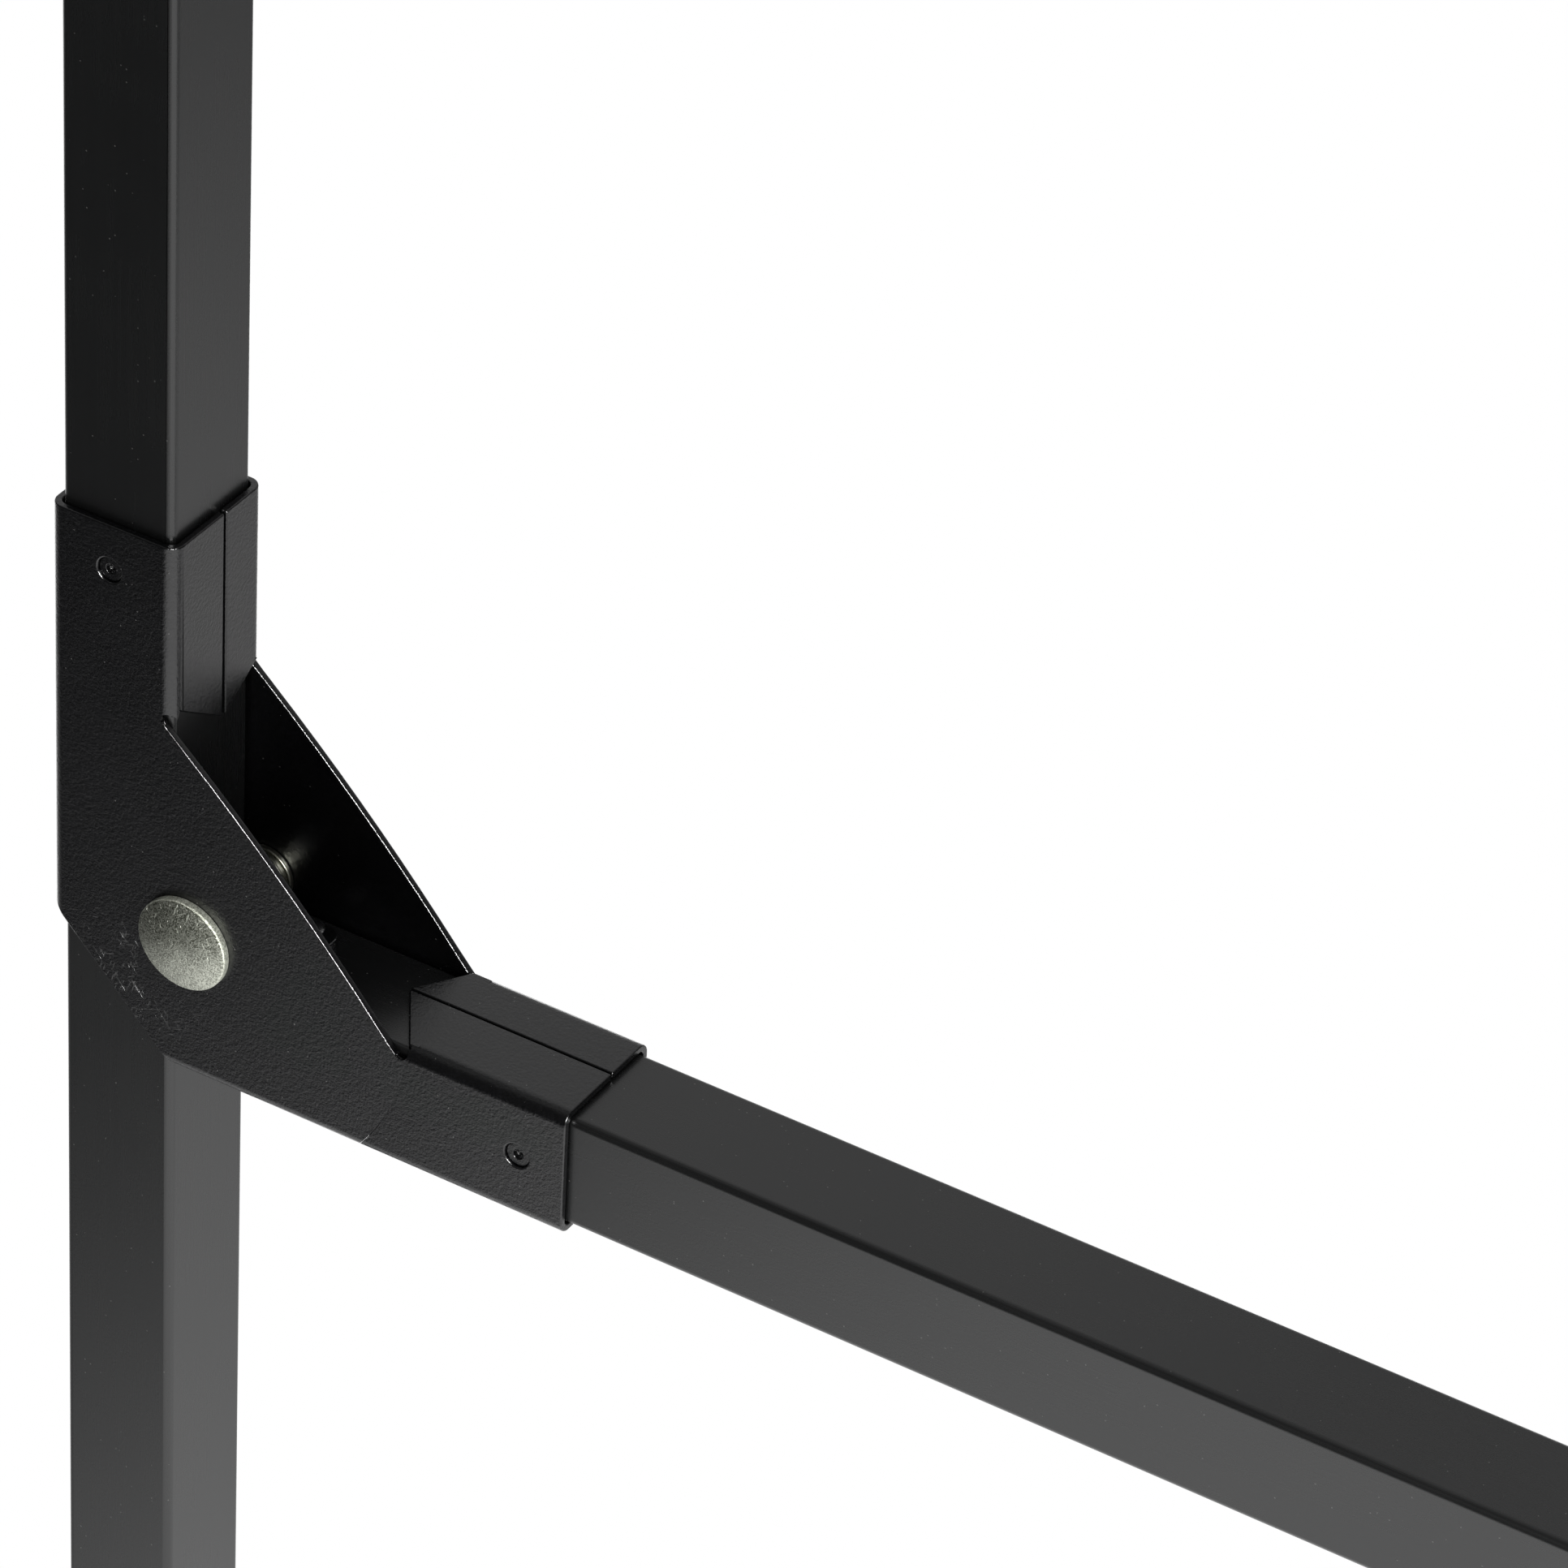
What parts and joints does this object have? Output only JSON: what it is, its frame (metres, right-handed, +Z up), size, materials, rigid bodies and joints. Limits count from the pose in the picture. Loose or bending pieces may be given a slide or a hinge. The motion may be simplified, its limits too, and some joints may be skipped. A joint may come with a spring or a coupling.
{
  "type": "wall mounted fold down drying rack",
  "caption": "Wall mounted drying rack: two square posts with a top rail and a rod frame that folds down on two pressed steel hinge brackets.",
  "frame": {"origin": "centre of the rectangle of the four wall screw holes, on the wall plane", "axes": "+X out of the wall, +Y along the wall, +Z up"},
  "size_m": [0.6355, 0.7748, 0.948],
  "materials": {
    "frame_tube": "satin",
    "bracket": "gloss",
    "bolt": "zinc plated",
    "washer": "zinc plated",
    "nut": "zinc plated",
    "pin": "satin",
    "plate": "satin",
    "screw": "zinc plated",
    "plastic": "matte",
    "pad": "matte",
    "leaf": "satin",
    "rivet": "zinc plated",
    "stop": "matte",
    "bush": "matte",
    "rod": "satin"
  },
  "bodies": {
    "wall_frame": {"post_left": "frame_tube", "post_right": "frame_tube", "bracket_left": "bracket", "bracket_right": "bracket", "pivot_bolt_left": "bolt", "pivot_bolt_right": "bolt", "pivot_washers_left": "washer", "pivot_washers_right": "washer", "pivot_nut_left": "nut", "pivot_nut_right": "nut", "post_pins_left": "pin", "post_pins_right": "pin", "wall_tabs_left": "plate", "wall_tabs_right": "plate", "tab_screws_left": "screw", "tab_screws_right": "screw", "rail_insert_left": "plastic", "rail_insert_right": "plastic", "rail_screw_left": "screw", "rail_screw_right": "screw", "post_caps_left": "plastic", "post_caps_right": "plastic", "rest_pad_left": "pad", "rest_pad_right": "pad", "top_rail": "frame_tube"},
    "drying_frame": {"arm_left": "frame_tube", "arm_right": "frame_tube", "arm_sleeve_left": "bracket", "arm_sleeve_right": "bracket", "hinge_leaf_left": "leaf", "hinge_leaf_right": "leaf", "leaf_rivets_left": "rivet", "leaf_rivets_right": "rivet", "arm_pins_left": "pin", "arm_pins_right": "pin", "arm_stop_left": "stop", "arm_stop_right": "stop", "arm_cap_left": "plastic", "arm_cap_right": "plastic", "rod_bushes_left": "bush", "rod_bushes_right": "bush", "rod_1": "rod", "rod_2": "rod", "rod_3": "rod", "rod_4": "rod", "rod_5": "rod", "rod_6": "rod", "rod_7": "rod"}
  },
  "joints": [
    {"name": "arm_fold", "type": "hinge", "parent": "wall_frame", "child": "drying_frame", "pos_m": [0.0326, 0, -0.1849], "axis": [0, -1, 0], "range_deg": [0, 90]}
  ]
}
